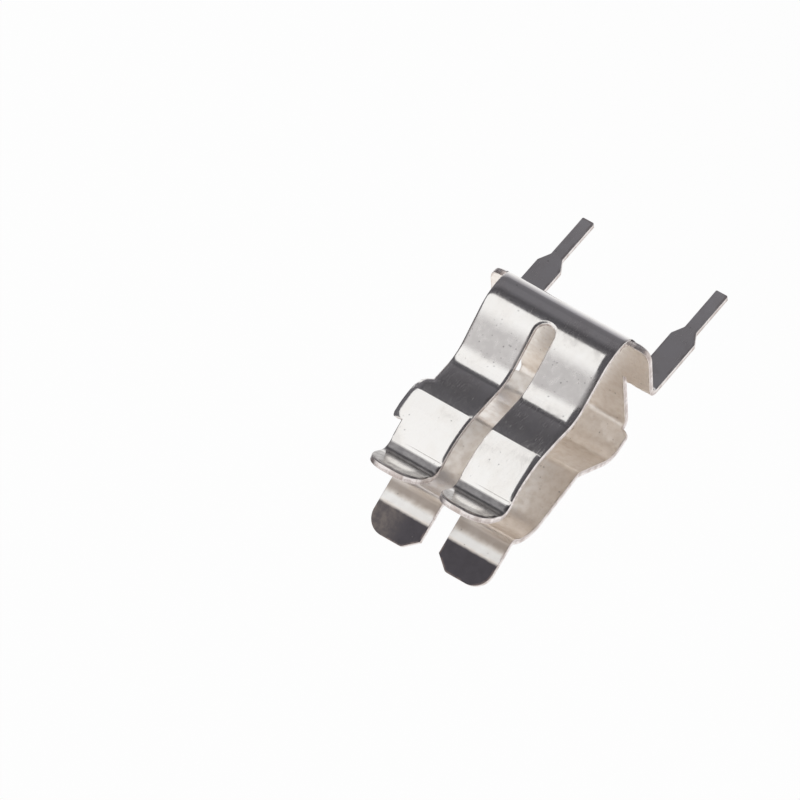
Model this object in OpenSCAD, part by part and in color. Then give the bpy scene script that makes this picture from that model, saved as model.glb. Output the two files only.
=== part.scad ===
// Fuse clip for a circuit board. One strip of springy sheet is folded into a
// base, two facing walls and two solder pins. Each wall is split into two
// fingers, and the four fingers close round the metal cap of a glass fuse. A
// small tab on one finger turns in behind the cap and stops it.
// Z points up from the board, Y runs along the fuse and X goes from the left
// wall to the right wall. The board's top face lies at Z = 0.

/* [Sheet] */
// Thickness of the sheet
sheet_t = 0.3; // [0.2:0.01:0.35]
// Width of the strip at both walls, along the fuse
wall_w = 6; // [5.7:0.1:8]

/* [Seat] */
// Radius of the round pads that hold the fuse cap, with no fuse in
seat_r = 1.98; // [1.9:0.02:2.2]
// Height of the fuse axis above the board
seat_h = 9.85; // [9.6:0.05:10.4]
// Distance of the fuse axis from the plane of the pins, towards the left wall
seat_shift = 0.08; // [0:0.01:0.15]
// Angle from the fuse axis down to the start of the left pad
left_dip = 7.3; // [4:0.1:10]
// Angle from the fuse axis up to the end of the left pad
left_rise = 49.3; // [47:0.1:51]
// Angle from the fuse axis down to the start of the right pad
right_dip = 4; // [2:0.1:6]
// Angle from the fuse axis up to the end of the right pad
right_rise = 48.5; // [47:0.1:50]

/* [Base] */
// Height of the underside of the base above the board
base_h = 2.95; // [2.6:0.05:3.4]
// Width of the narrow half of the base, next to the left wall
narrow_w = 5.3; // [4.6:0.1:5.3]
// Distance from the pins to the fold under the left wall
left_fold_x = 2.95; // [2.8:0.05:3.3]
// Middle radius of the fold under the left wall
left_fold_r = 0.45; // [0.3:0.05:0.6]
// Distance from the pins to the corner of the fold under the right wall
right_fold_x = 3.46; // [3.4:0.01:3.7]
// Middle radius of the fold under the right wall
right_fold_r = 0.72; // [0.5:0.02:0.8]
// Radius of the corners where the wide half of the base turns up
base_corner_r = 0.9; // [0.6:0.05:1]
// Radius of the corner at the top of the step from the base to the left wall
step_corner_r = 0.3; // [0.1:0.05:0.4]

/* [Left wall] */
// Distance from the pins to the corner of the outward belly
belly_x = 3.51; // [3.3:0.01:3.7]
// Height of the belly's corner above the underside of the base
belly_h = 1.74; // [1.5:0.02:2]
// Middle radius of the belly
belly_r = 1.37; // [0.8:0.01:1.4]
// Middle radius of the waist above the belly
left_waist_r = 0.4; // [0.3:0.05:0.8]
// Straight length from the waist's corner up to the pad
left_leg = 2.55; // [2.3:0.01:2.8]
// Middle radius of the throat bend above the pad
left_throat_r = 0.27; // [0.25:0.01:0.4]
// Lean of the tips away from the fuse
left_flare = 26.8; // [15:0.1:40]
// Straight length of the tips above the throat bend
left_tip_len = 2.21; // [1.6:0.01:2.6]
// Distance that the corners next to the slot are cut in
tip_cut_w = 0.65; // [0.4:0.01:0.8]
// Length of the cut corners along the tips
tip_cut_len = 0.55; // [0.4:0.01:0.8]
// Radius that softens the cut corners
tip_cut_r = 0.25; // [0.1:0.05:0.3]
// Radius of the outer corners of the tips
tip_corner_r = 0.85; // [0.5:0.05:1]

/* [Right wall] */
// Width of the right wall at its foot, which tapers to the wall's own width
foot_w = 6.22; // [6:0.02:6.5]
// Height of the end of that taper above the underside of the base
foot_taper_h = 5.2; // [4.6:0.05:5.3]
// Distance from the pins to the corner of the outward belly
right_belly_x = 3.4; // [3.2:0.01:3.6]
// Height of that corner above the underside of the base
right_belly_h = 1.71; // [1.6:0.01:1.9]
// Middle radius of that belly
right_belly_r = 2.2; // [1:0.05:2.4]
// Middle radius of the waist
right_waist_r = 1.9; // [0.8:0.05:2.1]
// Straight length from the waist's corner up to the pad
right_leg = 2.71; // [2.4:0.01:2.9]
// Middle radius of the throat bend above the pad
right_throat_r = 0.65; // [0.4:0.01:0.7]
// Lean of the lips away from the fuse
right_flare = 41; // [35:0.5:45]
// Straight length of the lips above the throat bend
right_lip_len = 1.54; // [1.3:0.01:1.8]
// Radius of the corners of the lips
lip_corner_r = 1.05; // [0.5:0.05:1.1]

/* [End stop] */
// Distance that the stop stands out past the edge of its finger
stop_out = 0.6; // [0.5:0.01:0.65]
// Outside radius of the fold that turns the stop inwards
stop_fold_r = 0.45; // [0.4:0.01:0.5]
// Distance from the middle plane to the free edge of the stop
stop_edge_x = 1.2; // [0.9:0.05:1.4]
// Height from the foot of the stop up to the fuse axis
stop_drop = 1.23; // [1:0.01:1.3]
// Height from the fuse axis up to the top of the stop
stop_climb = 0.98; // [0.9:0.01:1]
// Rise of the sloped foot of the stop for each millimetre outwards
stop_foot_slope = 0.6; // [0.5:0.05:1]
// Radius of the corners of the stop
stop_corner_r = 0.35; // [0.2:0.05:0.4]

/* [Slots] */
// Width of the slot between the two fingers of a wall
slot_w = 0.95; // [0.6:0.05:1.2]
// Height of the bottom of the left slot above the underside of the base
left_slot_h = 1.55; // [1.2:0.05:2.4]
// Height of the bottom of the right slot above the underside of the base
right_slot_h = 1.55; // [1.3:0.05:2.4]

/* [Pins] */
// Distance between the middles of the two pins
pin_pitch = 6.8; // [6.7:0.1:7.6]
// Width of a pin below its shoulders
pin_w = 0.6; // [0.4:0.05:0.8]
// Width of a pin above its shoulders
pin_root_w = 1.2; // [1:0.05:1.3]
// Inside radius of the fold that turns each pin down
pin_fold_r = 0.2; // [0.1:0.02:0.4]
// Length of the pins below the board's top face
pin_len = 2.8; // [2:0.1:4.5]
// Height above the board at which the shoulders begin
shoulder_top = 0.05; // [0:0.05:0.4]
// Height that the sloped shoulders take up
shoulder_h = 0.55; // [0.3:0.05:0.8]
// Radius of the rounded ends of the shoulders
shoulder_r = 0.2; // [0.1:0.02:0.25]
// Bevel on the corners of the pin ends
pin_bevel = 0.05; // [0.03:0.01:0.18]
// Depth of the relief cut beside each pin, past its fold
relief_depth = 0.15; // [0.05:0.05:0.4]

/* [Hidden] */
$fn = 96;

// The sheet's middle line runs half a sheet inside every face.
half_t = sheet_t / 2;
pad_r = seat_r + half_t;
seat_c = [-seat_shift, seat_h];
base_z = base_h + half_t;

// Turn of the sheet in each throat.
left_throat_turn = left_rise + left_flare;
right_throat_turn = right_rise + right_flare;

// Straight bit that is left between a pad and its throat bend.
throat_flat = 0.02;

// Corners of the middle line as [x, z], up the left wall from the base.
left_fold = [-left_fold_x, base_z];
belly = [-belly_x, base_h + belly_h];
left_waist = pad_low(-1, left_dip) - heading(-1, -left_dip) * left_leg;
left_pad = pad_corner(-1, left_dip, left_rise);
left_throat_reach = left_throat_r * tan(left_throat_turn / 2);
left_throat = pad_high(-1, left_rise)
    + heading(-1, left_rise) * (left_throat_reach + throat_flat);
left_end = left_throat
    + [-sin(left_flare), cos(left_flare)] * (left_throat_reach + left_tip_len);

// The same up the right wall.
right_fold = [right_fold_x, base_z];
right_belly = [right_belly_x, base_h + right_belly_h];
right_waist = pad_low(1, right_dip) - heading(1, -right_dip) * right_leg;
right_pad = pad_corner(1, right_dip, right_rise);
right_throat_reach = right_throat_r * tan(right_throat_turn / 2);
right_throat = pad_high(1, right_rise)
    + heading(1, right_rise) * (right_throat_reach + throat_flat);
right_end = right_throat
    + [sin(right_flare), cos(right_flare)] * (right_throat_reach + right_lip_len);

// The whole middle line from the left tips to the right lips.
fold_points = [
    left_end, left_throat, left_pad, left_waist, belly, left_fold,
    right_fold, right_belly, right_waist, right_pad, right_throat, right_end
];
fold_radii = [
    0, left_throat_r, pad_r, left_waist_r, belly_r, left_fold_r,
    right_fold_r, right_belly_r, right_waist_r, pad_r, right_throat_r, 0
];

// The wide half of the base carries the pins at its outer edges.
base_w = pin_pitch + pin_root_w;
pin_fold_x = half_t + pin_fold_r;
pin_inner_y = pin_pitch / 2 - pin_root_w / 2;
right_fold_axis = corner_centre(left_fold, right_fold, right_belly, right_fold_r);

// Outer faces of the end stop, and the middle of its fold as [x, y].
stop_y = wall_w / 2 + stop_out;
stop_x = seat_c[0] + seat_r + sheet_t;
stop_fold_axis = [stop_x - stop_fold_r, stop_y - stop_fold_r];

// Reach of the cutting shapes past the sheet.
clear = 1;
far = 12;
hair = 0.01;

function unit(v) = v / norm(v);
function across(v) = [-v[1], v[0]];
function turn_at(a, p, b) = acos(min(1, max(-1, unit(p - a) * unit(b - p))));
function reach_at(a, p, b, r) = r * tan(turn_at(a, p, b) / 2);
function corner_centre(a, p, b, r) =
    p + unit(unit(a - p) + unit(b - p)) * r / cos(turn_at(a, p, b) / 2);
function bends_left(a, p, b) =
    (p[0] - a[0]) * (b[1] - p[1]) - (p[1] - a[1]) * (b[0] - p[0]) > 0;

// The middle line with both ends run on, and a line shifted to its left.
function long_path(extra) = [
    for (i = [0 : len(fold_points) - 1])
        i == 0 ? left_end + [-sin(left_flare), cos(left_flare)] * extra
        : i == len(fold_points) - 1
            ? right_end + [sin(right_flare), cos(right_flare)] * extra
        : fold_points[i]
];
function shift_path(points, d) = [
    for (i = [0 : len(points) - 1])
        let (
            before = i == 0 ? [0, 0] : across(unit(points[i] - points[i - 1])),
            after = i == len(points) - 1 ? [0, 0] : across(unit(points[i + 1] - points[i]))
        )
        points[i] + d * (before + after) / (1 + before * after)
];

// Points on the pad circle; side is -1 for the left wall and 1 for the right.
function heading(side, angle) = [-side * sin(angle), cos(angle)];
function pad_low(side, dip) = seat_c + pad_r * [side * cos(dip), -sin(dip)];
function pad_high(side, rise) = seat_c + pad_r * [side * cos(rise), sin(rise)];
function pad_corner(side, dip, rise) =
    seat_c + pad_r / cos((dip + rise) / 2)
    * [side * cos((rise - dip) / 2), sin((rise - dip) / 2)];

// Extrudes an [x, z] outline along Y, and a [y, z] outline along X.
module along_y(width) {
    rotate([90, 0, 0])
        linear_extrude(width, center = true)
            children();
}

module along_x(start, stop) {
    translate([start, 0, 0])
        rotate([90, 0, 90])
            linear_extrude(stop - start)
                children();
}

module both_sides() {
    children();
    mirror([0, 1, 0])
        children();
}

// A polygon, listed anticlockwise, with true arcs at its corners. Outward
// corners are trimmed by an arc and inward corners are filled up to one.
module soft_polygon(points, radii) {
    difference() {
        union() {
            polygon(points);
            corner_webs(points, radii, false);
        }
        corner_webs(points, radii, true);
    }
}

// What lies between each corner and its arc, for one kind of corner.
module corner_webs(points, radii, outward) {
    n = len(points);
    for (i = [0 : n - 1]) {
        p = points[i];
        a = points[(i + n - 1) % n];
        b = points[(i + 1) % n];
        if (radii[i] > 0 && bends_left(a, p, b) == outward)
            corner_web(a, p, b, radii[i]);
    }
}

// The arc is a hair wider than the true one, so that it crosses both sides.
module corner_web(a, p, b, r) {
    c = corner_centre(a, p, b, r);
    reach = reach_at(a, p, b, r);
    start = p + unit(a - p) * reach;
    stop = p + unit(b - p) * reach;
    difference() {
        polygon([c, c + 1.5 * (start - c), c + 1.5 * (p - c), c + 1.5 * (stop - c)]);
        translate(c)
            circle(r = r * 1.0005 + 0.0006);
    }
}

// Region inside one face of the folded strip; side is 1 for the inner face
// and -1 for the outer one. It runs on past both ends and closes above them.
module face_region(side, extra) {
    last = len(fold_points) - 1;
    shifted = shift_path(long_path(extra), side * half_t);
    face_radii = [
        for (i = [0 : last])
            i == 0 || i == last ? 0
            : fold_radii[i] - (bends_left(fold_points[i - 1], fold_points[i], fold_points[i + 1])
                ? side : -side) * half_t
    ];
    soft_polygon(shifted, face_radii);
}

// The folded strip seen from its edge: flats between round bends.
module strip_profile() {
    difference() {
        face_region(-1, clear);
        face_region(1, 4 * clear);
    }
}

// Room beside the left half: the narrow base, and the step out to the wall.
module left_side_waste() {
    step_w = (wall_w - narrow_w) / 2;
    step_z = base_h + half_t;
    along_x(-far, pin_fold_x)
        soft_polygon([
            [narrow_w / 2, base_h - clear],
            [far, base_h - clear],
            [far, left_end[1] + 2 * clear],
            [wall_w / 2, left_end[1] + 2 * clear],
            [wall_w / 2, step_z + step_w],
            [narrow_w / 2, step_z]
        ], [0, 0, 0, 0, step_corner_r, 0]);
}

// Room beside the right wall, above its fold. The foot tapers as it rises.
// The children are what stays in that room.
module right_side_waste() {
    low_z = right_fold_axis[1] - clear / 4;
    slope = (foot_w - wall_w) / 2 / (base_h + foot_taper_h - right_fold_axis[1]);
    along_x(pin_fold_x, far)
        difference() {
            polygon([
                [foot_w / 2 + slope * clear / 4, low_z],
                [far, low_z],
                [far, right_end[1] + 2 * clear],
                [wall_w / 2, right_end[1] + 2 * clear],
                [wall_w / 2, base_h + foot_taper_h]
            ]);
            children();
        }
}

// The stop seen from its side, as [y, z]. Its foot slopes out from the finger.
module stop_outline(reach) {
    low = seat_h - stop_drop;
    high = seat_h + stop_climb;
    soft_polygon([
        [wall_w / 2 - reach, low - stop_foot_slope * reach],
        [wall_w / 2 + reach, low + stop_foot_slope * reach],
        [wall_w / 2 + reach, high],
        [wall_w / 2 - reach, high]
    ], [0, stop_corner_r, stop_corner_r, 0]);
}

// The part of the stop that lies square to the fuse, filleted into its fold.
// It fills the whole side outline past the seat, up to the rounded top.
module stop_flange() {
    inner_y = stop_y - sheet_t;
    root_x = stop_x - sheet_t * 7 / 8;
    low = seat_h - stop_drop + stop_foot_slope * stop_out;
    high = seat_h + stop_climb + hair;
    intersection() {
        along_x(stop_edge_x - clear, far)
            stop_outline(stop_out + hair);
        translate([0, 0, low - clear])
            linear_extrude(high - low + 2 * clear)
                soft_polygon([
                    [stop_edge_x - clear, inner_y],
                    [root_x, inner_y],
                    [root_x, inner_y - sheet_t],
                    [root_x + hair, inner_y - sheet_t],
                    [root_x + hair, stop_y],
                    [stop_edge_x - clear, stop_y]
                ], [0, stop_fold_r - sheet_t, 0, 0, 0, 0]);
        along_y(2 * stop_y + clear)
            soft_polygon([
                [stop_edge_x, low],
                [stop_x, low],
                [stop_x, high],
                [stop_edge_x, high]
            ], [stop_corner_r, 0, 0, stop_corner_r]);
    }
}

// What the round outside of the stop's fold leaves out.
module stop_fold_waste() {
    translate([stop_fold_axis[0], stop_fold_axis[1], seat_h - 2 * clear])
        linear_extrude(4 * clear)
            difference() {
                square([far, clear]);
                circle(r = stop_fold_r * 1.0005 + 0.0006);
            }
}

// Rounded corner of the wide base, cut square to the sheet where it turns up.
module base_corner_waste() {
    lean = 30;
    start_x = -(base_corner_r - right_fold_r / 8);
    translate([right_fold_axis[0], 0, right_fold_axis[1]])
        rotate([0, -lean, 0])
            translate([0, 0, -right_fold_r - sheet_t])
                linear_extrude(right_fold_r)
                    difference() {
                        translate([start_x - base_corner_r / 3, foot_w / 2])
                            square([1.4 * base_corner_r + 2 * right_fold_r, clear + pin_root_w]);
                        translate([start_x, base_w / 2 - base_corner_r + hair])
                            circle(r = base_corner_r);
                    }
}

// Slot with a round bottom, open at the tips.
module slot_waste(start, stop, bottom) {
    along_x(start, stop) {
        translate([0, bottom + slot_w / 2])
            circle(d = slot_w);
        translate([-slot_w / 2, bottom + slot_w / 2])
            square([slot_w, far]);
    }
}

// Finger outlines near the end as [y, length], with the end at zero. They run
// a hair past the finger's sides, so that only the corners are taken off.
module cut_finger_end() {
    inner = slot_w / 2;
    outer = wall_w / 2 + hair;
    low = -tip_cut_len * (1 + hair / tip_cut_w);
    soft_polygon([
        [inner - hair, low - 2 * clear],
        [outer, low - 2 * clear],
        [outer, 0],
        [inner + tip_cut_w, 0],
        [inner - hair, low]
    ], [0, 0, tip_corner_r, tip_cut_r, 0]);
}

module round_finger_end() {
    inner = slot_w / 2 - hair;
    outer = wall_w / 2 + hair;
    soft_polygon([
        [inner, -lip_corner_r - clear],
        [outer, -lip_corner_r - clear],
        [outer, 0],
        [inner, 0]
    ], [0, 0, lip_corner_r, lip_corner_r]);
}

// Everything round two finger ends that the punch takes away.
module end_waste(end, lean, length) {
    translate([end[0], 0, end[1]])
        rotate([0, lean, 0])
            along_x(-clear, clear)
                difference() {
                    translate([-wall_w / 2 - clear, -length - clear / 2])
                        square([wall_w + 2 * clear, length + 3 * clear]);
                    both_sides_flat()
                        children();
                }
}

module both_sides_flat() {
    children();
    mirror([1, 0])
        children();
}

// The strip with its walls, before the pins are added.
module folded_strip() {
    difference() {
        along_y(base_w)
            strip_profile();
        both_sides() {
            left_side_waste();
            base_corner_waste();
            relief_waste();
        }
        right_side_waste()
            stop_outline(stop_out - hair);
        mirror([0, 1, 0])
            right_side_waste();
        slot_waste(-far, 0, base_h + left_slot_h);
        slot_waste(0, far, base_h + right_slot_h);
        end_waste(left_end, -left_flare, tip_corner_r)
            cut_finger_end();
        end_waste(right_end, right_flare, lip_corner_r)
            round_finger_end();
    }
}

// Small cut that lets a pin fold down beside the narrow base.
module relief_waste() {
    translate([0, narrow_w / 2, base_h - clear])
        cube([pin_fold_x + relief_depth, pin_inner_y - narrow_w / 2, 2 * clear]);
}

// Outline of one pin as [y, z]: root, sloped shoulders and a bevelled end.
module pin_outline() {
    root = pin_root_w / 2;
    stem = pin_w / 2;
    shoulder_low = shoulder_top - shoulder_h;
    soft_polygon([
        [-stem + pin_bevel, -pin_len],
        [stem - pin_bevel, -pin_len],
        [stem, -pin_len + pin_bevel],
        [stem, shoulder_low],
        [root, shoulder_top],
        [root, base_h + sheet_t + clear],
        [-root, base_h + sheet_t + clear],
        [-root, shoulder_top],
        [-stem, shoulder_low],
        [-stem, -pin_len + pin_bevel]
    ], [0, 0, 0, shoulder_r, shoulder_r, 0, 0, shoulder_r, shoulder_r, 0]);
}

// One pin: a tab of the wide base, folded down and cut to the pin outline.
module pin() {
    intersection() {
        along_y(pin_root_w) {
            translate([pin_fold_x, base_h - pin_fold_r])
                intersection() {
                    difference() {
                        circle(r = pin_fold_r + sheet_t);
                        circle(r = pin_fold_r);
                    }
                    translate([-pin_fold_r - sheet_t, 0])
                        square(pin_fold_r + sheet_t);
                }
            translate([-half_t, -pin_len])
                square([sheet_t, pin_len + base_h - pin_fold_r]);
        }
        along_x(-clear, clear)
            pin_outline();
    }
}

// The whole clip is one piece of sheet.
module fuse_clip() {
    color([0.78, 0.79, 0.8])
        difference() {
            union() {
                folded_strip();
                stop_flange();
                both_sides()
                    translate([0, pin_pitch / 2, 0])
                        pin();
            }
            stop_fold_waste();
        }
}

fuse_clip();
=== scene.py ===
"""Fuse clip of folded, tin-plated sheet, dressed on the frame from the CAD.

The clip is drawn as a flat blank, given rolled and sheared edges, and then
folded along the same lines as the CAD. Sizes are in millimetres until the mesh
is made, and angles in degrees unless a comment says radians. A blank point is
[length along the strip from the left tips, distance across it].
"""
from math import atan2, ceil, cos, pi, radians, sin, tan

import bpy
import numpy as np
from mathutils import Matrix, Vector
from mathutils.geometry import delaunay_2d_cdt


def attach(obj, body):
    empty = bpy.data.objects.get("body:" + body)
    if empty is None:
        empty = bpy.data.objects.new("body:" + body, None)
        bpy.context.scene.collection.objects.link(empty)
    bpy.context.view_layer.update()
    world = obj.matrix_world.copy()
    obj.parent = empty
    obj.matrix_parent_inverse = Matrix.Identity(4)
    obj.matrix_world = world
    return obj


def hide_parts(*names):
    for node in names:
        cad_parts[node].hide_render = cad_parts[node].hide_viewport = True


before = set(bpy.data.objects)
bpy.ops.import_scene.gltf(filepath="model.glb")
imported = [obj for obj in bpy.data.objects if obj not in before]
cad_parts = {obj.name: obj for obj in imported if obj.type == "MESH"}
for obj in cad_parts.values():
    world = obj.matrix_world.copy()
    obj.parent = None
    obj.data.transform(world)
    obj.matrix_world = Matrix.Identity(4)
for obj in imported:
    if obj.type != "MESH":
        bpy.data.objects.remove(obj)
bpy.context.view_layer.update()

MM = 0.001

# Sheet and seat. A short straight joins each pad to its throat.
SHEET = 0.3
WALL_W = 6.0
SEAT_R = 1.98
SEAT_H = 9.85
SEAT_SHIFT = 0.08
LEFT_DIP, LEFT_RISE = 7.3, 49.3
RIGHT_DIP, RIGHT_RISE = 4, 48.5
THROAT_FLAT = 0.02

# Base. Its wide corners lie on the right fold: an angle round it, and a bit more.
BASE_H = 2.95
NARROW_W = 5.3
LEFT_FOLD_X, LEFT_FOLD_R = 2.95, 0.45
RIGHT_FOLD_X, RIGHT_FOLD_R = 3.46, 0.72
BASE_CORNER_R, STEP_CORNER_R = 0.9, 0.3
BASE_CORNER_LEAN, BASE_CORNER_PAST = 30, 0.09

# Left wall
BELLY_X, BELLY_H, BELLY_R = 3.51, 1.74, 1.37
LEFT_WAIST_R, LEFT_LEG = 0.4, 2.55
LEFT_THROAT_R, LEFT_FLARE, LEFT_TIP_LEN = 0.27, 26.8, 2.21
TIP_CUT_W, TIP_CUT_LEN, TIP_CUT_R, TIP_CORNER_R = 0.65, 0.55, 0.25, 0.85

# Right wall
FOOT_W, FOOT_TAPER_H = 6.22, 5.2
RIGHT_BELLY_X, RIGHT_BELLY_H, RIGHT_BELLY_R = 3.4, 1.71, 2.2
RIGHT_WAIST_R, RIGHT_LEG = 1.9, 2.71
RIGHT_THROAT_R, RIGHT_FLARE, RIGHT_LIP_LEN = 0.65, 41, 1.54
LIP_CORNER_R = 1.05

# The right pads lie a little flatter than the seat, with a soft kink at each end.
# Their arc takes up nearly all of the stretch between the kinks.
FLAT_PAD_DIP, PAD_KINK, PAD_KINK_R = 11.5, 15, 0.1
PAD_ARC_SHARE = 0.99

# Numbers of the base's two folds among the corners of the strip
LEFT_FOLD, RIGHT_FOLD = 5, 6

# End stop. The sheet is folded for it from a margin below its lower edge.
STOP_OUT, STOP_FOLD_R, STOP_EDGE_X = 0.6, 0.45, 1.2
STOP_DROP, STOP_CLIMB, STOP_MARGIN = 1.23, 0.98, 0.3
STOP_FOOT_SLOPE, STOP_CORNER_R = 0.6, 0.35

# Slots and pins
SLOT_W, LEFT_SLOT_H, RIGHT_SLOT_H = 0.95, 1.55, 1.55
PIN_PITCH, PIN_W, PIN_ROOT_W, PIN_FOLD_R, PIN_LEN = 6.8, 0.6, 1.2, 0.2, 2.8
SHOULDER_TOP, SHOULDER_H, SHOULDER_R, PIN_BEVEL = 0.05, 0.55, 0.2, 0.05
RELIEF_DEPTH = 0.15

# How the punch leaves the edges: rolled on the outer face, with a small burr on the
# inner one. Only the right flank has the full roll, and the other edges a share of it.
ROLL_IN, ROLL_DEPTH = 0.32, 0.08
PIN_ROLL_SHARE, SLOT_ROLL_SHARE, WALL_ROLL_SHARE = 0.35, 0.4, 0.6
ROLL_ANGLES = (8, 18, 28, 38, 48, 58, 68, 79, 90)
BURR_IN, BURR_TURN_SHARE = 0.02, 0.3

# Fineness of the mesh: rows along the strip, lanes across it, and the outline.
# ARC_STEP and CORNER_TURN are in radians.
ARC_STEP = radians(3)
LINE_STEP = 0.25
LANE_STEP, LANE_REACH = 0.25, 4.5
PIN_LANES = (-0.45, -0.15, 0.15, 0.45)
CORNER_STEP, CORNER_TURN, CORNER_LEAST = 0.05, 0.2, 4
EDGE_STEP, EDGE_LEAST = 0.2, 0.008
GRID_CLEARANCE = 0.04
MITRE_LEAST = 0.6
SLACK, TINY = 0.01, 1e-6
SEARCH_ROUNDS = 50

# While the blank is meshed, the pins are moved aside over the first part of their
# length, so that they don't lie on the base.
PIN_SPREAD, SPREAD_RUN = 0.7, 1.0

# The roll is evened out over this many points of the outline to each side. Where its
# inner line would cross itself, it is lowered step by step, also a few points beyond.
ROLL_BLEND = 5
CALM_ROUNDS, CALM_STEP, CALM_REACH = 25, 0.75, 2

# Triangulation: keep what lies inside the outline, and merge points this close
CDT_INSIDE, CDT_MERGE = 1, 1e-7

# Camera, from fitting the fuse clip's corners to the photograph. It sees from its near
# limit to its far one, in metres.
CAMERA_PLACE = Vector((264.997, -121.185, 159.288))
CAMERA_RIGHT = Vector((-0.04774, -0.80592, -0.59010))
CAMERA_UP = Vector((0.59236, 0.45283, -0.66637))
CAMERA_LENS = 360
SENSOR_WIDTH = 36
NEAR_LIMIT, FAR_LIMIT = 0.01, 10

# Colours of the tin, its stains, painted shade and the bare metal at the sheared edges
BRIGHT_TIN = (0.91, 0.895, 0.875, 1)
WARM_TIN = (0.885, 0.86, 0.83, 1)
SCUFFED_TIN = (0.60, 0.575, 0.565, 1)
# Painted shade on the outer face of the right throats
THROAT_SHADE_TONE = (0.25, 0.24, 0.245, 1)
# Painted shade on the inner face of the tips, deep and then paler towards one side
TIP_SHADE_DEEP = (0.088, 0.081, 0.09, 1)
TIP_SHADE_PALE = (0.2, 0.175, 0.165, 1)
# Painted shade in a band above the tips
SHADE_ABOVE_TIP_TONE = (0.32, 0.27, 0.238, 1)
# Painted shade on the outer face of the lips, near their edge
LIP_SHADE = (0.24, 0.222, 0.215, 1)
INNER_TIN = (0.935, 0.885, 0.835, 1)
INNER_STAIN = (0.85, 0.785, 0.72, 1)
CUT_METAL = (0.88, 0.82, 0.80, 1)
TORN_METAL = (0.56, 0.49, 0.47, 1)
RIM_STAIN = (0.42, 0.33, 0.29, 1)
PIT_TONE = (0.2, 0.19, 0.19, 1)

# Where the scuff, painted shade and painted highlight lie, as lengths along the strip. Two
# values are where one starts and where it is full, and four are its start, its full part
# and its end.
FLANK_SCUFF = (19.6, 20.4, 21.3, 21.75)
# Where the painted shade on the tips starts and where it is full
TIP_SHADE_SPAN = (1.36, 1.2)
# Painted highlight above the tips
HIGHLIGHT_ABOVE_TIP = (1.3, 1.45, 1.65, 1.85)
# Painted shade in a band above the tips
SHADE_ABOVE_TIP = (1.62, 2.0, 2.15, 2.4)
# Span of the painted shade on the right throats
THROAT_SHADE_SPAN = (26.72, 26.88, 27.45, 27.85)
# Where the painted shade on the lips starts and where it is full
LIP_SHADE_START = (27.7, 28.0)
RAGGED = 0.015

# The same across the strip, and as distances from the sheared edge
# Across the strip, where the painted shade on the tips turns paler
PALER_TIP_SHADE_ACROSS = (1.2, 2.4)
# How far from the edge the painted shade on the lips reaches
LIP_SHADE_REACH = (0.85, 0.6)
WORN_RIM_REACH = (0.14, 0.02)

# Parts of the skin by its side, which runs from -1 outside to 1 inside, and of the
# sheared wall by its depth, which does the same
OUTER_SIDE = (-0.3, -0.9)
INNER_SIDE = (0.3, 0.8)
CUT_SIDE = (0.55, 0.15)
TORN_DEPTH, TORN_RAGGED = (0.05, 0.3), 0.25

# Patterns on the metal: features per mm, how they are drawn out, how large a pit is
# in its cell, and how far apart the patterns of the two faces lie
CLOUD_SCALE, MOTTLE_SCALE, BRUSH_SCALE, GRAIN_SCALE = 0.9, 3.2, 9.0, 26.0
PIT_SCALE, SCRATCH_SCALE, RIM_SCALE = 6.5, 5.0, 2.0
BRUSH_STRETCH, SCRATCH_STRETCH = (0.25, 3.0, 1.0), (0.35, 14.0, 1.0)
PIT_SIZE = 0.26
FACE_GAP = 5.0

# Roughness, where two values are what a pattern varies between
OUTER_ROUGH, INNER_ROUGH, CUT_ROUGH = (0.09, 0.17), (0.28, 0.4), (0.3, 0.5)
SCUFF_ROUGH, DULL_ROUGH, SCRATCH_ROUGH = 0.3, 0.32, 0.34

# Heights of the relief, in metres
SWAY_HEIGHT, BRUSH_HEIGHT, PIT_HEIGHT = 7e-6, 5e-7, 4e-6
GRAIN_HEIGHT, CUT_GRAIN_HEIGHT = 3e-7, 3e-6
PIT_STRENGTH = 0.8

# Studio: a pale floor under a white sky, and dark cards that give the metal its
# dark bands. A card is (middle, facing direction, width, height, levels), and the
# levels run from its lower edge to its upper one as (share of the height, level).
FLOOR_Z = -14
FLOOR_SIZE = 4000
FLOOR_TONE = 0.9
SHADOW_SHARE = 0.15
CARD_TINT = (1.0, 0.97, 1.08)
LOW_CARD_TOP = 4.4
CARDS = {
    "low_card": ((10.1, 8, (LOW_CARD_TOP + FLOOR_Z) / 2), (-1, 0, 0),
                 50, LOW_CARD_TOP - FLOOR_Z,
                 [(0, 0.34), (0.2, 0.2), (0.45, 0.16), (0.72, 0.15), (0.8, 0.18),
                  (0.85, 0.13), (0.9, 0.075), (0.95, 0.1), (1, 0.11)]),
    "floor_card": ((2.1, 8, FLOOR_Z + 0.1), (0, 0, 1), 50, 16,
                   [(0, 0.34), (0.2, 0.46), (0.53, 0.75), (0.95, 0.98)]),
    "camera_card": ((40, -20.5, 18), (-0.86, 0.5, 0), 85, 64, [(0, 0.1)]),
    "far_card": ((-2.5, 40, 8), (0, -1, 0), 55, 44, [(0, 0.14)]),
}

half_t = SHEET / 2
pad_r = SEAT_R + half_t
base_z = BASE_H + half_t
seat = np.array([-SEAT_SHIFT, SEAT_H])


def unit(v):
    return v / np.hypot(*v)


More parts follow.
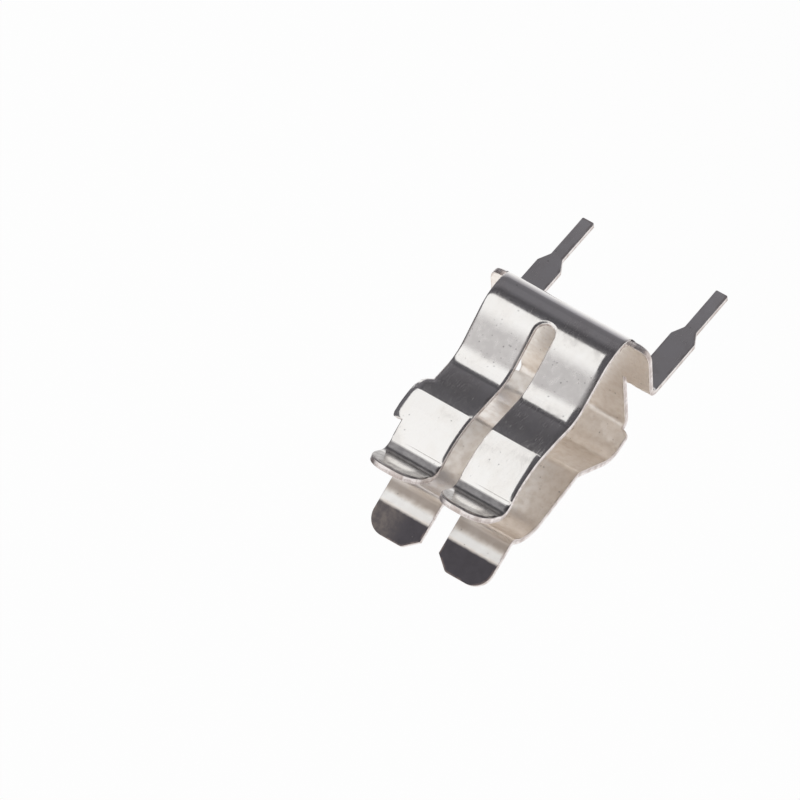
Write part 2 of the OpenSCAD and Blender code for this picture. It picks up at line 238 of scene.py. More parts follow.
class FoldLine:
    """Straights and arcs in a plane, measured by the length along them."""

    def __init__(self, start, heading):
        self.parts = []
        self.length = 0.0
        self.end = np.array(start, float)
        self.heading = heading

    def add(self, length, curve=0.0):
        self.parts.append((self.length, self.end, self.heading, curve))
        self.end, self.heading = self.step(self.end, self.heading, curve, length)
        self.length += length

    @staticmethod
    def step(point, heading, curve, length):
        turned = heading + curve * length
        if curve:
            move = [(sin(turned) - sin(heading)) / curve, (cos(heading) - cos(turned)) / curve]
        else:
            move = [length * cos(heading), length * sin(heading)]
        return point + np.array(move), turned

    def at(self, s):
        """Point and heading at a length; both ends run on straight."""
        part = self.parts[0]
        for candidate in self.parts:
            if candidate[0] <= s:
                part = candidate
        start, point, heading, curve = part
        if s < 0:
            curve = 0.0
        return self.step(point, heading, curve, s - start)

    def stations(self):
        """Lengths at which the mesh gets a row of points."""
        rows = []
        ends = [part[0] for part in self.parts[1:]] + [self.length]
        for (start, _, _, curve), end in zip(self.parts, ends):
            step = ARC_STEP / abs(curve) if curve else LINE_STEP
            count = max(1, ceil((end - start) / step - SLACK))
            rows += [start + (end - start) * i / count for i in range(count)]
        return rows + [self.length]

    def where(self, axis, value, low, high):
        """Length between low and high at which x (0) or z (1) has a value."""
        rising = self.at(high)[0][axis] > self.at(low)[0][axis]
        for _ in range(SEARCH_ROUNDS):
            halfway = (low + high) / 2
            if (self.at(halfway)[0][axis] < value) == rising:
                low = halfway
            else:
                high = halfway
        return (low + high) / 2


def pad_point(side, angle, radius):
    return seat + radius * np.array([side * cos(radians(angle)), sin(radians(angle))])


def up_the_pad(side, angle):
    return np.array([-side * sin(radians(angle)), cos(radians(angle))])


def pad_corner(side, dip, rise):
    return pad_point(side, (rise - dip) / 2, pad_r / cos(radians((dip + rise) / 2)))


def flat_pad():
    """Corners of a right pad that is flatter than its seat, between the same ends."""
    foot, top = pad_point(1, -FLAT_PAD_DIP, pad_r), pad_point(1, RIGHT_RISE, pad_r)
    half_turn = radians((FLAT_PAD_DIP + RIGHT_RISE) / 2 - PAD_KINK)
    half_chord = (top - foot) / 2
    out = np.array([half_chord[1], -half_chord[0]]) * tan(half_turn)
    reach = np.hypot(*half_chord) / cos(half_turn) - PAD_KINK_R * tan(radians(PAD_KINK) / 2)
    return [(foot, PAD_KINK_R),
            (foot + half_chord + out, PAD_ARC_SHARE * reach / tan(half_turn)),
            (top, PAD_KINK_R)]


def strip_corners():
    """Corners of the middle line as ([x, z], radius), from the left tips to the lips."""
    left_reach = LEFT_THROAT_R * tan(radians(LEFT_RISE + LEFT_FLARE) / 2)
    right_reach = RIGHT_THROAT_R * tan(radians(RIGHT_RISE + RIGHT_FLARE) / 2)
    left_out = np.array([-sin(radians(LEFT_FLARE)), cos(radians(LEFT_FLARE))])
    right_out = np.array([sin(radians(RIGHT_FLARE)), cos(radians(RIGHT_FLARE))])
    left_throat = (pad_point(-1, LEFT_RISE, pad_r)
                   + up_the_pad(-1, LEFT_RISE) * (left_reach + THROAT_FLAT))
    right_throat = (pad_point(1, RIGHT_RISE, pad_r)
                    + up_the_pad(1, RIGHT_RISE) * (right_reach + THROAT_FLAT))
    return [
        (left_throat + left_out * (left_reach + LEFT_TIP_LEN), 0),
        (left_throat, LEFT_THROAT_R),
        (pad_corner(-1, LEFT_DIP, LEFT_RISE), pad_r),
        (pad_point(-1, -LEFT_DIP, pad_r) - up_the_pad(-1, -LEFT_DIP) * LEFT_LEG, LEFT_WAIST_R),
        (np.array([-BELLY_X, BASE_H + BELLY_H]), BELLY_R),
        (np.array([-LEFT_FOLD_X, base_z]), LEFT_FOLD_R),
        (np.array([RIGHT_FOLD_X, base_z]), RIGHT_FOLD_R),
        (np.array([RIGHT_BELLY_X, BASE_H + RIGHT_BELLY_H]), RIGHT_BELLY_R),
        (pad_point(1, -RIGHT_DIP, pad_r) - up_the_pad(1, -RIGHT_DIP) * RIGHT_LEG, RIGHT_WAIST_R),
        *flat_pad(),
        (right_throat, RIGHT_THROAT_R),
        (right_throat + right_out * (right_reach + RIGHT_LIP_LEN), 0),
    ]


def bend_through(corners):
    """Fold line through the corners, and the length at which each corner's arc starts."""
    points = [point for point, _ in corners]
    legs = [b - a for a, b in zip(points, points[1:])]
    headings = [atan2(leg[1], leg[0]) for leg in legs]
    line = FoldLine(points[0], headings[0])
    starts = [0.0]
    used = 0.0
    for i, leg in enumerate(legs):
        radius = corners[i + 1][1]
        turn = 0.0
        if i + 1 < len(legs):
            turn = (headings[i + 1] - headings[i] + pi) % (2 * pi) - pi
        reach = radius * tan(abs(turn) / 2)
        line.add(np.hypot(*leg) - used - reach)
        starts.append(line.length)
        if turn:
            line.add(radius * abs(turn), turn / (radius * abs(turn)))
        used = reach
    return line, starts


def pin_line():
    """Middle line of a pin: over the fold and straight down."""
    line = FoldLine([half_t + PIN_FOLD_R, base_z], pi)
    radius = PIN_FOLD_R + half_t
    line.add(radius * pi / 2, 1 / radius)
    line.add(BASE_H - PIN_FOLD_R + PIN_LEN)
    return line


pin = pin_line()
strip, corner_starts = bend_through(strip_corners())
left_fold, right_fold = corner_starts[LEFT_FOLD], corner_starts[RIGHT_FOLD]
base_middle = strip.where(0, 0, left_fold, right_fold)
pin_root = strip.where(0, half_t + PIN_FOLD_R, left_fold, right_fold)
slot = SLOT_W / 2
edge = WALL_W / 2
fold_mid_r = STOP_FOLD_R - half_t
stop_flat = STOP_OUT - STOP_FOLD_R
stop_round = stop_flat + fold_mid_r * pi / 2


def on_left(z):
    return strip.where(1, z, 0, base_middle)


def on_right(z):
    return strip.where(1, z, right_fold, strip.length)


def pin_outline(y):
    """Corners of a pin, down one side and up the other."""
    root, stem = PIN_ROOT_W / 2, PIN_W / 2
    top = pin.where(1, SHOULDER_TOP, 0, pin.length)
    low = pin.where(1, SHOULDER_TOP - SHOULDER_H, 0, pin.length)
    end = pin.length
    side = [(0, root, 0), (top, root, SHOULDER_R), (low, stem, SHOULDER_R),
            (end - PIN_BEVEL, stem, 0), (end, stem - PIN_BEVEL, 0)]
    return ([(pin_root - p, y - w, r, True) for p, w, r in side]
            + [(pin_root - p, y + w, r, True) for p, w, r in reversed(side)])


def stop_outline():
    """Corners of the end stop, laid flat beside its finger."""
    low, high = SEAT_H - STOP_DROP, SEAT_H + STOP_CLIMB
    foot = on_right(low + STOP_FOOT_SLOPE * STOP_OUT)
    top = on_right(high - STOP_CORNER_R)

    def free_edge(s):
        return edge + stop_round + strip.at(s)[0][0] - fold_mid_r - STOP_EDGE_X

    return [
        (on_right(low), edge, 0, False),
        (foot, edge + stop_round, 0, False),
        (foot, free_edge(foot), STOP_CORNER_R, False),
        (top, free_edge(top), STOP_CORNER_R, False),
        (top, edge + stop_round, 0, False),
        (on_right(high), edge + stop_round, STOP_CORNER_R, False),
        (on_right(high), edge, 0, False),
    ]


def half_outline(with_stop):
    """Corners of half the blank, as (length, across, radius, on a pin)."""
    notch = strip.where(0, half_t + PIN_FOLD_R + RELIEF_DEPTH, left_fold, right_fold)
    corner = right_fold + RIGHT_FOLD_R * radians(BASE_CORNER_LEAN) + BASE_CORNER_PAST
    left = [
        (on_left(BASE_H + LEFT_SLOT_H), slot, slot, False),
        (TIP_CUT_LEN, slot, 0, False),
        (0, slot + TIP_CUT_W, TIP_CUT_R, False),
        (0, edge, TIP_CORNER_R, False),
        (on_left(base_z + (WALL_W - NARROW_W) / 2), edge, STEP_CORNER_R, False),
        (left_fold, NARROW_W / 2, 0, False),
        (notch, NARROW_W / 2, 0, False),
        (notch, PIN_PITCH / 2 - PIN_ROOT_W / 2, 0, False),
    ]
    foot = [
        (corner, PIN_PITCH / 2 + PIN_ROOT_W / 2, BASE_CORNER_R, False),
        (corner, FOOT_W / 2, 0, False),
        (on_right(BASE_H + FOOT_TAPER_H), edge, 0, False),
    ]
    lip = [
        (strip.length, edge, LIP_CORNER_R, False),
        (strip.length, slot, LIP_CORNER_R, False),
        (on_right(BASE_H + RIGHT_SLOT_H), slot, slot, False),
    ]
    stop = stop_outline() if with_stop else []
    return left + pin_outline(PIN_PITCH / 2) + foot + stop + lip


def rounded(before, here, after, radius):
    """Points of the arc that rounds a corner."""
    a, b = unit(before - here), unit(after - here)
    half = np.arccos(np.clip(a @ b, -1, 1)) / 2
    centre = here + unit(a + b) * radius / sin(half)
    first = here + a * radius / tan(half) - centre
    last = here + b * radius / tan(half) - centre
    start = atan2(first[1], first[0])
    sweep = (atan2(last[1], last[0]) - start + pi) % (2 * pi) - pi
    steps = max(CORNER_LEAST, int(abs(sweep) * radius / CORNER_STEP),
                int(abs(sweep) / CORNER_TURN))
    angles = [start + sweep * k / steps for k in range(steps + 1)]
    return [centre + radius * np.array([cos(angle), sin(angle)]) for angle in angles]


def rounded_outline():
    """The blank's edge as a closed loop of (point, on a pin), with rounded corners."""
    near_half = [(s, -w, radius, on_pin)
                 for s, w, radius, on_pin in reversed(half_outline(False))]
    corners = half_outline(True) + near_half
    loop = []
    for i, (s, w, radius, on_pin) in enumerate(corners):
        here = np.array([s, w])
        before = np.array(corners[i - 1][:2])
        after = np.array(corners[(i + 1) % len(corners)][:2])
        bend = rounded(before, here, after, radius) if radius else [here]
        loop += [(point, on_pin) for point in bend]
    return loop


def cuts_along(point, move, rows):
    """Shares of a straight at which it gets a point: evenly, and where rows cross it."""
    size = np.hypot(*move)
    count = max(1, int(size / EDGE_STEP))
    cuts = {round(k / count, 6) for k in range(count)}
    if abs(move[0]) > TINY:
        hits = (rows - point[0]) / move[0]
        cuts |= {round(float(hit), 6) for hit in hits if 0 < hit < 1}
    kept = []
    for cut in sorted(cuts):
        if not kept or (cut - kept[-1]) * size > EDGE_LEAST:
            kept.append(cut)
    if len(kept) > 1 and (1 - kept[-1]) * size < EDGE_LEAST:
        kept.pop()
    return kept


def outline_points():
    """The blank's edge as a dense closed loop, and which points are on a pin."""
    loop = rounded_outline()
    rows = np.array(strip.stations() + [pin_root - p for p in pin.stations()])
    dense, flags = [], []
    for i, (point, on_pin) in enumerate(loop):
        after, after_on_pin = loop[(i + 1) % len(loop)]
        move = after - point
        if np.hypot(*move) < TINY:
            continue
        for cut in cuts_along(point, move, rows):
            dense.append(point + move * cut)
            flags.append(on_pin and (cut == 0 or after_on_pin))
    return np.array(dense), np.array(flags)


def inward(loop):
    """Direction into the blank at each point of its edge, sized for a mitre."""
    before = loop - np.roll(loop, 1, axis=0)
    after = np.roll(loop, -1, axis=0) - loop
    before /= np.hypot(*before.T)[:, None]
    after /= np.hypot(*after.T)[:, None]
    turn = 1 if np.sum(loop[:, 0] * np.roll(loop[:, 1], -1)
                       - loop[:, 1] * np.roll(loop[:, 0], -1)) > 0 else -1
    normals = [turn * np.stack([-d[:, 1], d[:, 0]], 1) for d in (before, after)]
    total = normals[0] + normals[1]
    scale = 1 + np.sum(normals[0] * normals[1], axis=1)
    return total / np.maximum(scale, MITRE_LEAST)[:, None]


def edge_profile():
    """Rings round the sheared edge as (burr inset, rolled inset, height, lean)."""
    turn = BURR_IN * BURR_TURN_SHARE
    rings = [(BURR_IN, 0, half_t, pi / 2), (turn, 0, half_t - turn, pi / 4),
             (0, 0, half_t - BURR_IN, 0), (0, 0, -half_t + ROLL_DEPTH, 0)]
    for angle in ROLL_ANGLES:
        a = radians(angle)
        rings.append((0, ROLL_IN * (1 - cos(a)), -half_t + ROLL_DEPTH * (1 - sin(a)),
                      -atan2(sin(a) / ROLL_DEPTH, cos(a) / ROLL_IN)))
    return rings


def roll_shares(loop, on_pin):
    """Share of the full roll at each point of the edge."""
    in_slot = abs(loop[:, 1]) < slot + SLACK
    on_flank = (loop[:, 0] > right_fold) & (loop[:, 0] < on_right(SEAT_H - half_t))
    shares = np.where(on_pin, PIN_ROLL_SHARE, np.where(
        in_slot, SLOT_ROLL_SHARE, np.where(on_flank, 1.0, WALL_ROLL_SHARE)))
    return np.mean([np.roll(shares, k) for k in range(-ROLL_BLEND, ROLL_BLEND + 1)], axis=0)


def crossings(loop):
    """Pairs of segments of a closed loop that cross, as the numbers of their starts."""
    ends = np.roll(loop, -1, axis=0)

    def turn(a, b, c):
        return ((b[..., 0] - a[..., 0]) * (c[..., 1] - a[..., 1])
                - (b[..., 1] - a[..., 1]) * (c[..., 0] - a[..., 0]))

    pairs = []
    for i in range(len(loop)):
        hit = ((turn(loop[i], ends[i], loop) * turn(loop[i], ends[i], ends) < 0)
               & (turn(loop, ends, loop[i]) * turn(loop, ends, ends[i]) < 0))
        pairs += [(i, int(j)) for j in np.nonzero(hit)[0] if j > i]
    return pairs


def calm(shares, loop, push, on_pin):
    """Lowers the roll wherever its inner line would cross itself."""
    for _ in range(CALM_ROUNDS):
        pairs = crossings(spread(loop + push * ROLL_IN * shares[:, None], on_pin))
        if not pairs:
            break
        for first, last in pairs:
            if last - first > len(loop) / 2:
                first, last = last, first + len(loop)
            near = np.arange(first - CALM_REACH, last + 2 + CALM_REACH) % len(loop)
            shares[near] *= CALM_STEP
    return shares


def fold(point, height, on_pin):
    """Place of a blank point in the clip, with its frame: along, across, normal."""
    s, w = point
    (x, z), heading = pin.at(pin_root - s) if on_pin else strip.at(s)
    sign = -1 if on_pin else 1
    along = sign * np.array([cos(heading), 0, sin(heading)])
    normal = sign * np.array([-sin(heading), 0, cos(heading)])
    across = np.array([0, 1.0, 0])
    past = w - edge - stop_flat
    if on_pin or past <= 0 or z < SEAT_H - STOP_DROP - STOP_MARGIN:
        return np.array([x, w, z]) + height * normal, along, across, normal
    # The end stop turns round its fold, from across the strip towards the left wall.
    turn = min(past / fold_mid_r, pi / 2)
    run = max(0.0, past - fold_mid_r * pi / 2)
    place = np.array([x - fold_mid_r * (1 - cos(turn)) - run,
                      edge + stop_flat + fold_mid_r * sin(turn), z])
    inner = cos(turn) * normal - sin(turn) * across
    return (place + height * inner, along,
            cos(turn) * across - sin(turn) * np.array([1.0, 0, 0]), inner)


def spread(points, on_pin):
    """Blank points with the pins moved aside, so that nothing overlaps."""
    ramp = np.clip((pin_root - points[:, 0]) / SPREAD_RUN, 0, 1)
    aside = np.sign(points[:, 1]) * PIN_SPREAD * ramp * ramp * (3 - 2 * ramp)
    moved = points.copy()
    moved[:, 1] += np.where(on_pin, aside, 0)
    return moved


def inside(points, loop):
    """Which points lie within a closed loop."""
    x, y = points[:, 0][:, None], points[:, 1][:, None]
    x0, y0 = loop[:, 0][None], loop[:, 1][None]
    x1, y1 = np.roll(loop[:, 0], -1)[None], np.roll(loop[:, 1], -1)[None]
    crossing = (y0 > y) != (y1 > y)
    with np.errstate(divide="ignore", invalid="ignore"):
        at_x = x0 + (y - y0) / (y1 - y0) * (x1 - x0)
    return np.sum(crossing & (x < at_x), axis=1) % 2 == 1


def gap_to(points, loop):
    """Distance from each point to the nearest edge of a closed loop."""
    d = np.roll(loop, -1, axis=0) - loop
    size = np.sum(d * d, axis=1)
    gaps = []
    for point in points:
        t = np.clip(np.sum((point - loop) * d, axis=1) / size, 0, 1)
        gaps.append(np.min(np.hypot(*(point - loop - t[:, None] * d).T)))
    return np.array(gaps)


def grid_points():
    """Rows of points across the blank and the pins, and which are on a pin."""
    lanes = np.arange(-LANE_REACH, LANE_REACH + LANE_STEP / 2, LANE_STEP)
    body = [(s, w) for s in strip.stations() for w in lanes]
    pins = [(pin_root - p, side * (PIN_PITCH / 2 + lane))
            for p in pin.stations()[1:] for side in (-1, 1) for lane in PIN_LANES]
    return np.array(body + pins), np.array([False] * len(body) + [True] * len(pins))


def grid_within(border):
    """Grid points clear of the border, which are on a pin, and their gaps to it."""
    grid, on_pin = grid_points()
    flat = spread(grid, on_pin)
    within = inside(flat, border)
    grid, on_pin, gap = grid[within], on_pin[within], gap_to(flat[within], border)
    # No point of the strip may fall where a pin lies beside the base.
    beside = ~on_pin & (grid[:, 0] < pin_root) & (abs(grid[:, 1]) > edge + GRID_CLEARANCE)
    keep = (gap > GRID_CLEARANCE) & ~beside
    return grid[keep], on_pin[keep], gap[keep]


def triangles(border, points):
    """Triangles that fill a border by way of points, numbered through both lists."""
    count = len(border)
    everything = [Vector(p) for p in np.vstack([border, points])]
    result = delaunay_2d_cdt(everything, [], [list(range(count))], CDT_INSIDE, CDT_MERGE, True)
    spots, faces, origins = np.array([tuple(v) for v in result[0]]), result[2], result[3]
    names = [ids[0] if ids else None for ids in origins]
    centres = np.array([spots[list(face)].mean(axis=0) for face in faces])
    for face, wanted in zip(faces, inside(centres, border)):
        corners = [names[v] for v in face]
        if wanted and None not in corners and len(set(corners)) == len(corners):
            yield corners


class Skin:
    """Points on the folded sheet's surface, with what the material asks of each."""

    def __init__(self):
        self.places, self.normals = [], []
        self.fields = {"rim_gap": [], "along": [], "face_side": [], "sheet_depth": []}

    def add(self, point, height, on_pin, lean, rim_gap, push=(0, 0)):
        """Adds a point with its normal, which leans from straight out of the edge, at 0,
        to square to the inner face, at pi / 2, or to the outer one, at -pi / 2."""
        place, along, across, normal = fold(point, height, on_pin)
        out = -(push[0] * along + push[1] * across)
        direction = cos(lean) * out + sin(lean) * normal
        self.places.append(place)
        self.normals.append(direction / np.linalg.norm(direction))
        self.fields["rim_gap"].append(rim_gap)
        self.fields["along"].append(point[0])
        self.fields["face_side"].append(sin(lean))
        self.fields["sheet_depth"].append(height / half_t)


def make_clip():
    """The clip as one closed mesh, and its points' normals."""
    loop, on_pin = outline_points()
    push = inward(loop)
    shares = calm(roll_shares(loop, on_pin), loop, push, on_pin)[:, None]
    grid, grid_pin, gap = grid_within(spread(loop + push * ROLL_IN * shares, on_pin))
    rings = edge_profile()
    count = len(loop)

    skin = Skin()
    for burr, rolled, height, lean in rings:
        for i in range(count):
            inset = burr + rolled * shares[i, 0]
            skin.add(loop[i] + push[i] * inset, height, on_pin[i], lean, inset, unit(push[i]))
    faces = [(a + i, a + (i + 1) % count, a + count + (i + 1) % count, a + count + i)
             for a in range(0, (len(rings) - 1) * count, count) for i in range(count)]

    for ring, inset, side in ((0, BURR_IN, 1), (len(rings) - 1, ROLL_IN * shares, -1)):
        first = len(skin.places)
        for i in range(len(grid)):
            skin.add(grid[i], side * half_t, grid_pin[i], side * pi / 2, gap[i] + ROLL_IN)
        border = spread(loop + push * inset, on_pin)
        for corners in triangles(border, spread(grid, grid_pin)):
            faces.append([ring * count + c if c < count else first + c - count
                          for c in corners[::side]])

    mesh = bpy.data.meshes.new("folded_clip")
    mesh.from_pydata([tuple(place * MM) for place in skin.places], [], faces)
    mesh.validate()
    for name, values in skin.fields.items():
        mesh.attributes.new(name, "FLOAT", "POINT").data.foreach_set("value", values)
    clip = bpy.data.objects.new("folded_clip", mesh)
    bpy.context.scene.collection.objects.link(clip)
    return clip, np.array(skin.normals)


def face_outwards(clip, normals):
    """Turns each face the way its corners' normals point, then sets those normals."""
    mesh = clip.data
    flipped = [p.index for p in mesh.polygons
               if np.dot(p.normal, normals[list(p.vertices)].sum(axis=0)) < 0]
    for index in flipped:
        mesh.polygons[index].flip()
    mesh.shade_smooth()
    mesh.normals_split_custom_set_from_vertices([tuple(n) for n in normals])
    mesh.update()


class Nodes:
    """A material, and short calls that add linked nodes to it."""

    def __init__(self, name):
        self.material = bpy.data.materials.new(name)
        self.material.use_nodes = True
        self.nodes = self.material.node_tree.nodes
        self.links = self.material.node_tree.links
        self.nodes.clear()

    def add(self, kind, settings=None, **inputs):
        """Node with inputs given by name, with _ for a space, or by number as i0, i1."""
        node = self.nodes.new("ShaderNode" + kind)
        for name, value in (settings or {}).items():
            setattr(node, name, value)
        for name, value in inputs.items():
            numbered = name[0] == "i" and name[1:].isdigit()
            socket = node.inputs[int(name[1:]) if numbered else name.replace("_", " ")]
            if isinstance(value, bpy.types.NodeSocket):
                self.links.new(value, socket)
            else:
                socket.default_value = value
        return node

    def math(self, operation, *values):
        inputs = {f"i{k}": value for k, value in enumerate(values)}
        return self.add("Math", {"operation": operation}, **inputs).outputs[0]

    def times(self, first, second):
        return self.math("MULTIPLY", first, second)

    def plus(self, first, second):
        return self.math("ADD", first, second)

    def ramp(self, value, low, high, at_low=0.0, at_high=1.0):
        """Smooth step of a value from one level to another."""
        return self.add("MapRange", {"interpolation_type": "SMOOTHSTEP"}, Value=value,
                        From_Min=low, From_Max=high, To_Min=at_low, To_Max=at_high).outputs[0]

    def band(self, value, edges):
        """One between the two middle edges, falling to nothing at the outer ones."""
        return self.times(self.ramp(value, edges[0], edges[1]),
                          self.ramp(value, edges[3], edges[2]))

    def noise(self, place, scale, stretch=(1, 1, 1), detail=3.0, roughness=0.55):
        """Noise with features of about 1/scale mm, drawn out by the stretch."""
        spot = self.add("VectorMath", {"operation": "MULTIPLY"}, i0=place,
                        i1=stretch).outputs[0]
        return self.add("TexNoise", None, Vector=spot, Scale=scale, Detail=detail,
                        Roughness=roughness).outputs["Fac"]

    def field(self, name):
        """Number that the mesh carries at each point."""
        return self.add("Attribute", {"attribute_name": name}).outputs["Fac"]

    def blend(self, share, first, second):
        """Mix of two colours."""
        return self.add("Mix", {"data_type": "RGBA"}, i0=share, i6=first, i7=second).outputs[2]

    def either(self, share, first, second):
        """Mix of two numbers."""
        return self.add("Mix", None, i0=share, i2=first, i3=second).outputs[0]

    def surface(self, shader):
        """The material, with this shader as its surface."""
        self.add("OutputMaterial", None, Surface=shader.outputs[0])
        return self.material


class TinnedMetal(Nodes):
    """Bright tin on rolled sheet: brushed, mottled, scuffed, with raw sheared edges."""

    def __init__(self):
        super().__init__("tinned_metal")
        spot = self.add("SeparateXYZ", None, Vector=self.add("TexCoord").outputs["Object"])
        side = self.field("face_side")
        self.along = self.field("along")
        self.across = self.times(spot.outputs["Y"], 1 / MM)
        self.rim = self.field("rim_gap")
        self.place = self.add("CombineXYZ", None, X=self.along, Y=self.across,
                              Z=self.times(side, FACE_GAP)).outputs[0]
        self.outer = self.ramp(side, *OUTER_SIDE)
        self.inner = self.ramp(side, *INNER_SIDE)
        self.cut = self.ramp(self.math("ABSOLUTE", side), *CUT_SIDE)
        self.cloud = self.noise(self.place, CLOUD_SCALE)
        self.mottle = self.noise(self.place, MOTTLE_SCALE, detail=4.0)
        self.brushing = self.noise(self.place, BRUSH_SCALE, BRUSH_STRETCH, detail=4.0,
                                   roughness=0.7)
        self.grain = self.noise(self.place, GRAIN_SCALE, detail=2.0)
        self.find_scuffs()
        self.find_painted_light()
        self.find_torn_metal()

    def find_scuffs(self):
        """Scuffs, pits and scratches: most on the right flank, few elsewhere."""
        flank = self.times(self.band(self.along, FLANK_SCUFF), self.outer)
        self.scuff = self.plus(self.times(flank, self.ramp(self.mottle, 0.2, 0.65, 0.75, 1.0)),
                               self.times(self.ramp(self.cloud, 0.56, 0.7), 0.25))
        cells = self.add("TexVoronoi", {"feature": "F1"}, Vector=self.place, Scale=PIT_SCALE)
        luck = self.add("SeparateColor", None, Color=cells.outputs["Color"]).outputs[0]
        pits = self.math("LESS_THAN", cells.outputs["Distance"],
                         self.times(self.ramp(luck, 0.55, 1.0), PIT_SIZE))
        self.pits = self.times(pits, self.plus(self.ramp(self.mottle, 0.5, 0.62, 0.05, 0.5),
                                               self.times(flank, 0.35)))
        lines = self.noise(self.place, SCRATCH_SCALE, SCRATCH_STRETCH, detail=1.0)
        self.scratch = self.times(self.ramp(lines, 0.66, 0.7), self.ramp(self.cloud, 0.45, 0.6))

    def find_painted_light(self):
        """Painted shade inside the tips and outside the right throats and lips; painted
        highlight above the tips.
        """
        ragged = self.plus(self.along, self.ramp(self.mottle, 0.3, 0.7, -RAGGED, RAGGED))
        # Painted shade on the inner face of the tips, with a ragged edge
        self.tip_shade = self.times(self.inner, self.ramp(ragged, *TIP_SHADE_SPAN))
        # Painted highlight above the tips
        self.painted_tip_highlight = self.times(self.inner, self.band(self.along, HIGHLIGHT_ABOVE_TIP))
        # Painted shade in a band above the tips
        self.band_shade_above_tip = self.times(self.inner, self.band(ragged, SHADE_ABOVE_TIP))
        # The painted shade on the tips turns paler towards one side, in patches
        self.tip_shade_paling = self.times(self.ramp(self.across, *PALER_TIP_SHADE_ACROSS),
                                   self.ramp(self.mottle, 0.35, 0.65, 0.3, 1.0))
        # Painted shade on the outer face of the lips, near their edge
        lip = self.times(self.outer, self.ramp(self.along, *LIP_SHADE_START))
        self.lip = self.times(lip, self.ramp(self.rim, *LIP_SHADE_REACH))
        # Painted shade on the outer face of the right throats, a little patchy
        throat_shade = self.times(self.outer, self.band(self.along, THROAT_SHADE_SPAN))
        self.throat_shade = self.times(throat_shade, self.ramp(self.mottle, 0.3, 0.75, 1.0, 0.8))

    def find_torn_metal(self):
        """The inner part of the sheared wall is torn, and the rims are stained in places."""
        depth = self.plus(self.field("sheet_depth"),
                          self.ramp(self.mottle, 0.3, 0.7, -TORN_RAGGED, TORN_RAGGED))
        self.torn = self.times(self.cut, self.ramp(depth, *TORN_DEPTH))
        patches = self.noise(self.place, RIM_SCALE)
        self.worn_rim = self.times(self.ramp(self.rim, *WORN_RIM_REACH),
                                   self.ramp(patches, 0.45, 0.6, 0.0, 0.5))

    def colour(self):
        outer = self.blend(self.ramp(self.cloud, 0.35, 0.65), BRIGHT_TIN, WARM_TIN)
        outer = self.blend(self.scuff, outer, SCUFFED_TIN)
        inner = self.blend(self.ramp(self.mottle, 0.35, 0.7), INNER_TIN, INNER_STAIN)
        # Painted highlight above the tips, in the bright tin colour
        inner = self.blend(self.painted_tip_highlight, inner, BRIGHT_TIN)
        # Painted shade in a band above the tips
        inner = self.blend(self.times(self.band_shade_above_tip, 0.85), inner, SHADE_ABOVE_TIP_TONE)
        tone = self.blend(self.inner, outer, inner)
        layers = [
            # Painted shade on the right throats
            (self.throat_shade, THROAT_SHADE_TONE),
            # Painted shade on the tips, deep and paler
            (self.tip_shade, self.blend(self.tip_shade_paling, TIP_SHADE_DEEP, TIP_SHADE_PALE)),
            # Painted shade on the lips, a little patchy
            (self.times(self.lip, self.ramp(self.mottle, 0.3, 0.7, 0.9, 0.6)), LIP_SHADE),
            (self.times(self.cut, 0.9), CUT_METAL),
            (self.times(self.torn, self.ramp(self.grain, 0.35, 0.6, 0.3, 0.8)), TORN_METAL),
            (self.worn_rim, RIM_STAIN),
            (self.pits, PIT_TONE),
        ]
        for share, layer in layers:
            tone = self.blend(share, tone, layer)
        return tone

    def roughness(self):
        rough = self.either(self.inner, self.ramp(self.brushing, 0.3, 0.7, *OUTER_ROUGH),
                            self.ramp(self.mottle, 0.3, 0.7, *INNER_ROUGH))
        layers = [
            (self.scuff, SCUFF_ROUGH),
            # Rougher where the right throats carry painted shade
            (self.throat_shade, DULL_ROUGH),
            (self.cut, self.ramp(self.grain, 0.3, 0.7, *CUT_ROUGH)),
            (self.scratch, SCRATCH_ROUGH),
        ]
        for share, layer in layers:
            rough = self.either(share, rough, layer)
        return rough

    def relief(self):
        """Waves of the sheet, brush lines, grain and pits, each laid over the last."""
        sway = self.add("Bump", None, Strength=1.0, Distance=SWAY_HEIGHT, Height=self.cloud)
        lines = self.add("Bump", None, Strength=1.0, Distance=BRUSH_HEIGHT,
                         Height=self.brushing, Normal=sway.outputs[0])
        grain = self.add("Bump", None, Strength=1.0, Height=self.grain,
                         Distance=self.either(self.cut, GRAIN_HEIGHT, CUT_GRAIN_HEIGHT),
                         Normal=lines.outputs[0])
        dents = self.add("Bump", {"invert": True}, Strength=PIT_STRENGTH,
                         Distance=PIT_HEIGHT, Height=self.pits, Normal=grain.outputs[0])
        return dents.outputs[0]

    def finished(self):
        """The material, ready for the clip."""
        return self.surface(self.add(
            "BsdfPrincipled", None, Base_Color=self.colour(), Metallic=1.0,
            Roughness=self.roughness(), Normal=self.relief()))


def pale_floor():
    """Pale floor that takes a shadow, and is white to the camera and in the metal."""
    n = Nodes("pale_floor")
    path = n.add("LightPath").outputs
    seen = n.math("MAXIMUM", n.math("MAXIMUM", path["Is Camera Ray"], path["Is Glossy Ray"]),
                  path["Is Transmission Ray"])
    plain = n.add("BsdfDiffuse", None, Color=(FLOOR_TONE, FLOOR_TONE, FLOOR_TONE, 1))
    white = n.add("Emission")
    return n.surface(n.add("MixShader", None, i0=n.times(seen, 1 - SHADOW_SHARE),
                           i1=plain.outputs[0], i2=white.outputs[0]))


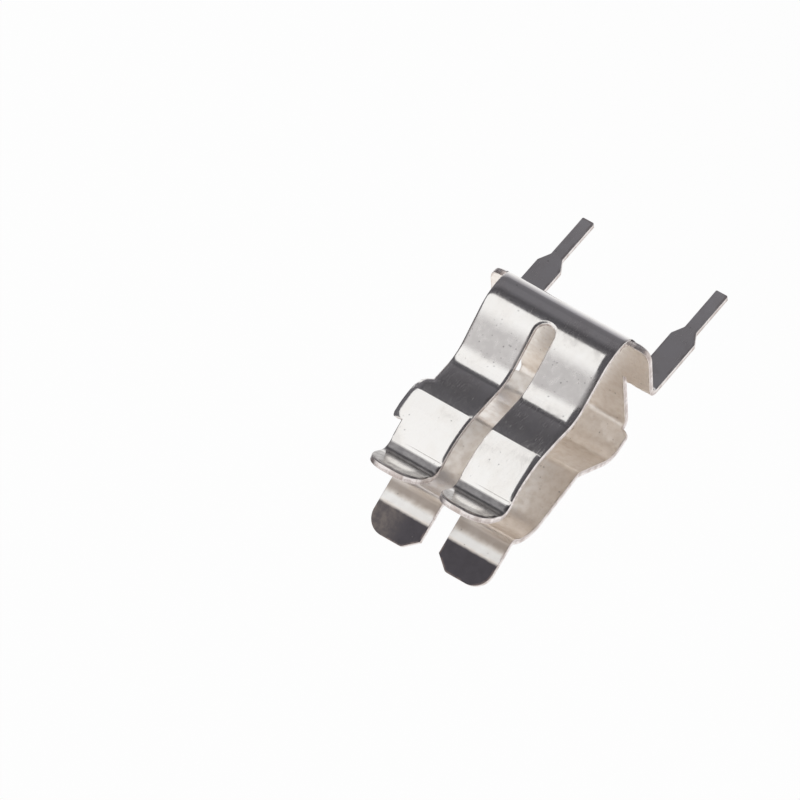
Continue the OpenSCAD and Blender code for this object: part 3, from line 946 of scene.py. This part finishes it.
def dark_card(name, levels):
    """Card that is as dark as its levels say, from its lower edge to its upper one."""
    n = Nodes(name)
    spot = n.add("SeparateXYZ", None, Vector=n.add("TexCoord").outputs["Generated"])
    shades = n.add("ValToRGB", None, Fac=spot.outputs["Y"])
    stops = shades.color_ramp.elements
    stops.remove(stops[1])
    for k, (place, level) in enumerate(levels):
        stop = stops.new(place) if k else stops[0]
        stop.position = place
        stop.color = [level * (tint * (1 - level) + level) for tint in CARD_TINT] + [1]
    return n.surface(n.add("Emission", None, Color=shades.outputs["Color"]))


def add_cards():
    """Cards that only reflections show, out of the picture on every side."""
    for name, (centre, facing, width, height, levels) in CARDS.items():
        bpy.ops.mesh.primitive_plane_add(size=1)
        card = bpy.context.object
        card.name = name
        forward = Vector(facing).normalized()
        # The upper edge of a card that lies flat is the one on the left.
        up = Vector((-1, 0, 0)) if facing[2] else Vector((0, 0, 1))
        side = up.cross(forward).normalized()
        turn = Matrix((side, forward.cross(side), forward)).transposed().to_4x4()
        card.matrix_world = (Matrix.Translation(Vector(centre) * MM) @ turn
                             @ Matrix.Diagonal((width * MM, height * MM, 1, 1)))
        card.data.materials.append(dark_card(name, levels))
        card.visible_camera = False
        card.visible_shadow = False
        card.visible_diffuse = False


def add_floor():
    bpy.ops.mesh.primitive_plane_add(size=FLOOR_SIZE * MM, location=(0, 0, FLOOR_Z * MM))
    floor = bpy.context.object
    floor.name = "floor"
    floor.data.materials.append(pale_floor())


def add_world():
    world = bpy.data.worlds.new("studio")
    bpy.context.scene.world = world
    world.use_nodes = True
    world.node_tree.nodes["Background"].inputs["Color"].default_value = (1, 1, 1, 1)


def add_camera():
    data = bpy.data.cameras.new("photo_camera")
    data.lens = CAMERA_LENS
    data.sensor_width = SENSOR_WIDTH
    data.clip_start = NEAR_LIMIT
    data.clip_end = FAR_LIMIT
    camera = bpy.data.objects.new("photo_camera", data)
    bpy.context.scene.collection.objects.link(camera)
    turn = Matrix((CAMERA_RIGHT, CAMERA_UP, CAMERA_RIGHT.cross(CAMERA_UP))).transposed()
    camera.matrix_world = Matrix.Translation(CAMERA_PLACE * MM) @ turn.to_4x4()
    bpy.context.scene.camera = camera


piece, piece_normals = make_clip()
face_outwards(piece, piece_normals)
piece.data.materials.append(TinnedMetal().finished())
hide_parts("fuse_clip")
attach(piece, "root")
add_floor()
add_cards()
add_world()
add_camera()
bpy.context.scene.view_settings.view_transform = "Standard"
